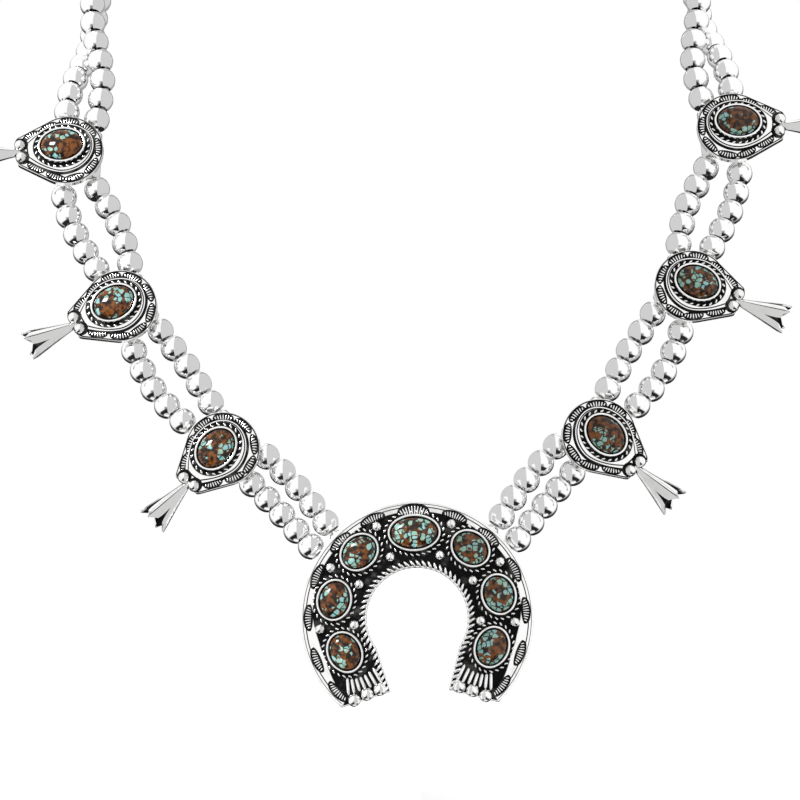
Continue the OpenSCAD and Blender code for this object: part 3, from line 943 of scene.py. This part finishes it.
# %% The pendant as one piece
naja = join(naja_parts, "naja_silver")
naja.data.transform(naja_place)
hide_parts("naja")
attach(naja, "root")
print("naja faces:", len(naja.data.polygons))


# %% [markdown]
# ## Stones
# A cabochon is a flat-bottomed oval with a polished dome. It starts as a ball, the lower half is cut
# away with bisect, which closes the cut, and that flat face is extruded down into the bezel. Every
# stone gets a finish of its own, with more or less rock.

# %% Cabochons
def cabochon(name, a, b, dome, place, node, rock, offset):
    deselect()
    bpy.ops.mesh.primitive_uv_sphere_add(segments=48, ring_count=24, radius=1)
    stone = named(name, turquoise(name + "_stone", rock, offset))
    bpy.ops.object.mode_set(mode="EDIT")
    bpy.ops.mesh.select_all(action="SELECT")
    bpy.ops.mesh.bisect(plane_co=(0, 0, 0), plane_no=(0, 0, 1), clear_inner=True, use_fill=True)
    edit_done()
    stone.data.transform(
        Matrix.Translation(at_mm(0, 0, GROUND_Z + 1.8))
        @ Matrix.Diagonal(((a - 0.26) * MM, (b - 0.32) * MM, dome * MM, 1))
    )
    pick_faces(stone, lambda middle, normal: normal.z < -0.9)
    bpy.ops.mesh.extrude_region_move(TRANSFORM_OT_translate={"value": (0, 0, -1.6 * MM)})
    bpy.ops.mesh.select_all(action="SELECT")
    bpy.ops.mesh.remove_doubles(threshold=0.001 * MM)
    bpy.ops.mesh.normals_make_consistent(inside=False)
    edit_done()
    stone.data.transform(place)
    if place.determinant() < 0:
        stone.data.flip_normals()
    bpy.ops.object.shade_smooth_by_angle(angle=math.radians(50))
    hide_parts(node)
    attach(stone, "root")
    return stone


# share of the rock in each stone
ROCK = {1: 0.65, 2: 0.62, 3: 0.56, 4: 0.52, 5: 0.60, 6: 0.56, 7: 0.55}
for i in range(1, 8):
    angle, dist, a, b = NAJA_STONES[abs(i - 4)]
    turn = angle if i < 4 else -angle
    dome = 1.85 if i == 4 else 1.65
    place = naja_place @ turned(turn, "Z") @ Matrix.Translation(at_mm(0, dist, 0))
    cabochon(f"pendant_stone_{i}", a, b, dome, place, f"naja_stone_{i}", ROCK[i], 0.01 * i)

# %% [markdown]
# ## Blossom plates
# A plate is round towards the beads and narrows to a straight outer end. From its rim inwards come
# nine stamped fans, a black groove, a smooth ridge like a drop, a black ring with twisted wire,
# and the bezel. Two balls sit at the outer end, and the squash blossom grows out between them.
# One plate is modelled and copied six times, and the left ones are mirrored.

# %% Plate outlines
PLATE_R, REACH, END_HALF = 9.6, 12.0, 3.8
MID_X, MID_Y = -1.1, -1.2


def plate_outline(inset, count=90):
    """The round part stands a little off the stone, and two straight sides run to the outer end."""
    radius, reach, half = PLATE_R - inset, REACH - inset, END_HALF - inset * 0.5
    line = [(MID_X + x, MID_Y + y) for x, y in arc(radius, 64, 303, count - 6)]
    line += [(reach - 0.5, -half - 0.2), (reach, -half + 0.3), (reach, -half / 3)]
    line += [(reach, half / 3), (reach, half - 0.3), (reach - 0.5, half + 0.2)]
    return line


def drop_outline(left, up, down, reach, half, count=90):
    """A round that is drawn out to a blunt end at +X."""
    line = []
    for i in range(count):
        t = 2 * math.pi * i / count
        x, y = left * math.cos(t), (up if math.sin(t) > 0 else down) * math.sin(t)
        pull = max(0.0, math.cos(t)) ** 2.2
        x = x * (1 - pull) + reach * pull
        y = y * (1 - pull) + half * min(1.0, max(-1.0, 3 * math.sin(t))) * pull
        line.append((x, y))
    return line


# %% Plate body
sheet = slab("plate_sheet", plate_outline(0), SHEET_Z, BORDER_Z, bright_silver, 0.16)
satin_back(sheet)
# painted shade: a thin black line just inside the plate's rim stands for the dark shade of its cut edge
RIM_SHADE_LINE = (plate_outline(0.17), plate_outline(0.47))
groove = ring("plate_rim_shade_line", *RIM_SHADE_LINE, LINE_LOW, LINE_HIGH, black_silver)
WELL_LOW, WELL_HIGH, RIDGE_HIGH = BORDER_Z - 0.3, BORDER_Z + 0.015, BORDER_Z + 0.30
WELL = drop_outline(8.95, 7.0, 8.15, 10.7, 2.9)
well = slab("plate_well", WELL, WELL_LOW, WELL_HIGH, black_silver)
RIDGE = (drop_outline(8.3, 6.4, 7.5, 10.1, 2.3), oval(7.6, 6.1, 90))
ridge = ring("plate_ridge", *RIDGE, WELL_LOW, RIDGE_HIGH, bright_silver, 0.14)
RIDGE_LINE = (drop_outline(8.0, 6.12, 7.2, 9.3, 2.0), drop_outline(7.7, 6.05, 6.85, 8.9, 1.9))
line = ring("plate_ridge_line", *RIDGE_LINE, BORDER_Z, RIDGE_HIGH + 0.012, black_silver)
plate_parts = [sheet, groove, well, ridge, line]
print("plate layers:", [piece.name for piece in plate_parts])

# %% Fans of the plate
ROUND_FANS = [101, 142, 183, 223, 262, 297]
for heading in ROUND_FANS:
    x, y = polar(PLATE_R - 1.62, heading)
    plate_parts += fan(5.5, 2.3, 7, BORDER_Z, (MID_X + x, MID_Y + y), heading)
# x, y, heading
STRAIGHT_FANS = [(3.0, 5.8, 67), (7.7, 3.95, 67), (7.4, -5.1, -56)]
for x, y, heading in STRAIGHT_FANS:
    plate_parts += fan(5.2, 2.1, 7, BORDER_Z, (x, y), heading)
print("plate parts:", len(plate_parts))

# %% Setting and ears of the plate
STONE = (5.6, 4.3)
plate_parts += dressed_setting(*STONE, 0, 0, 1.4, 1.7, 1.75, 0.7, 35)
for sign in (-1, 1):
    place = Matrix.Translation(at_mm(REACH - 1.1, sign * 1.7, GROUND_Z + 0.5))
    plate_parts += copies(ball, [place @ Matrix.Scale(1.5, 4)])
    # a black disc under each ball shows as a dark ring round it
    dark_disc = slab("ear_dark_disc", oval(1.85, 1.85, 32), BORDER_Z - 0.2, BORDER_Z + 0.33, black_silver)
    dark_disc.data.transform(Matrix.Translation(at_mm(REACH - 1.45, sign * 1.75, 0)))
    plate_parts.append(dark_disc)
print("plate parts with setting and ears:", len(plate_parts))

# %% [markdown]
# The blossom is a stem that opens into four long folded petals: one in front, one at each side and
# one behind, whose black inside fills the gaps. One petal is a narrow grid laid round the axis,
# which it leaves further and further towards its tip. A painted black line, a painted shade, runs
# along the crest of its fold and another by one edge. It is bright outside and black inside, and
# the whole blossom turns up a little.

# %% Shape of a petal
BLOSSOM_TIP = REACH + 12.9
ROWS = 12
ACROSS = [-1.0, -0.5, -0.06, 0.06, 0.5, 0.86, 1.0]
# painted shade: the columns of faces that get the black finish, the crest of the fold and a strip by
# one edge
SHADE_LINE_COLUMNS = (2, 5)


def petal_radius(t):
    return 0.8 + 3.4 * t ** 1.15


def petal_width(t):
    """Half the angle that a petal takes up, in degrees."""
    tip = 1.0 if t < 0.86 else 0.3 + 0.7 * math.sqrt(max(0.0, 1 - ((t - 0.86) / 0.14) ** 2))
    return (46 - 16 * max(0.0, t - 0.58) / 0.42) * tip


# %% One petal
deselect()
bpy.ops.mesh.primitive_grid_add(x_subdivisions=ROWS, y_subdivisions=len(ACROSS) - 1, size=2)
petal = named("petal", bright_silver)
petal.data.materials.append(black_silver)
# painted shade: the faces of the fold's crest and of a strip by one edge get the black finish
for face in petal.data.polygons:
    column = math.floor((face.center.y + 1) / 2 * (len(ACROSS) - 1))
    face.material_index = 1 if column in SHADE_LINE_COLUMNS else 0
for vertex in petal.data.vertices:
    t = (vertex.co.x + 1) / 2
    across = ACROSS[round((vertex.co.y + 1) / 2 * (len(ACROSS) - 1))]
    angle = math.radians(across * petal_width(t))
    fold = 0.45 * t * (1 - abs(across + 0.07) * 2)
    radius = petal_radius(t) + fold
    x = REACH - 1.3 + (BLOSSOM_TIP - REACH + 1.3) * t - 0.5 * across * across * t
    vertex.co = at_mm(x, radius * math.sin(angle), radius * math.cos(angle))
wall = petal.modifiers.new("wall", "SOLIDIFY")
wall.thickness = 0.4 * MM
wall.offset = -1
wall.material_offset = 1
apply_modifier(petal, wall)
soften(petal, 0.08, 2)
print("petal faces:", len(petal.data.polygons))

# %% Four petals
BLOSSOM_TURN, PETAL_ANGLES = 4, (12, 110, 195, 288)
stem = Matrix.Translation(at_mm(REACH, 0, GROUND_Z)) @ turned(BLOSSOM_TURN, "Z")
stem = stem @ Matrix.Translation(at_mm(-REACH, 0, 0))
for angle in PETAL_ANGLES:
    plate_parts += copies(petal, [stem @ turned(-angle, "X")])
remove(petal)
print("petal radius at the tip:", round(petal_radius(1), 2), "mm")

# %% Six plates
# place along the plate, half length
TUBES = [(-7.9, 7.0), (-0.1, 9.2)]
SLANT = {"low": 3, "mid": 5, "top": 9}
model = join(plate_parts, "plate_model")
PLATE_ROCK = {"low": 0.66, "mid": 0.60, "top": 0.66}
for level in PLATES:
    for side_name in ("left", "right"):
        place = plate_place(level, side_name)
        body = copies(model, [place])[0]
        tubes = []
        for along, half in TUBES:
            piece = tube(2 * half)
            piece.data.transform(
                turned(SLANT[level], "Z") @ Matrix.Translation(at_mm(along, 0, 0)) @ turned(90, "X")
            )
            tubes += copies(piece, [place])
            remove(piece)
        plate = join([body] + tubes, f"plate_{level}_{side_name}")
        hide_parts(f"blossom_plate_{level}_{side_name}")
        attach(plate, "root")
        cabochon(
            f"blossom_stone_{level}_{side_name}", *STONE, 2.0, place,
            f"plate_stone_{level}_{side_name}", PLATE_ROCK[level], 0.03,
        )
        print(plate.name, len(plate.data.polygons), "faces")
remove(model, link, ball, rib)

# %% [markdown]
# ## Threads and clasp
# The threads and the clasp hardly show, and their CAD shapes are right as they are. They keep
# those shapes and get finishes of their own.

# %% Threads and clasp
for node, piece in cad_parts.items():
    if node.startswith("thread") or node == "clasp":
        for slot in piece.material_slots:
            slot.material = satin_silver if node == "clasp" else braided_wire
        print(node, "is", piece.material_slots[0].material.name)
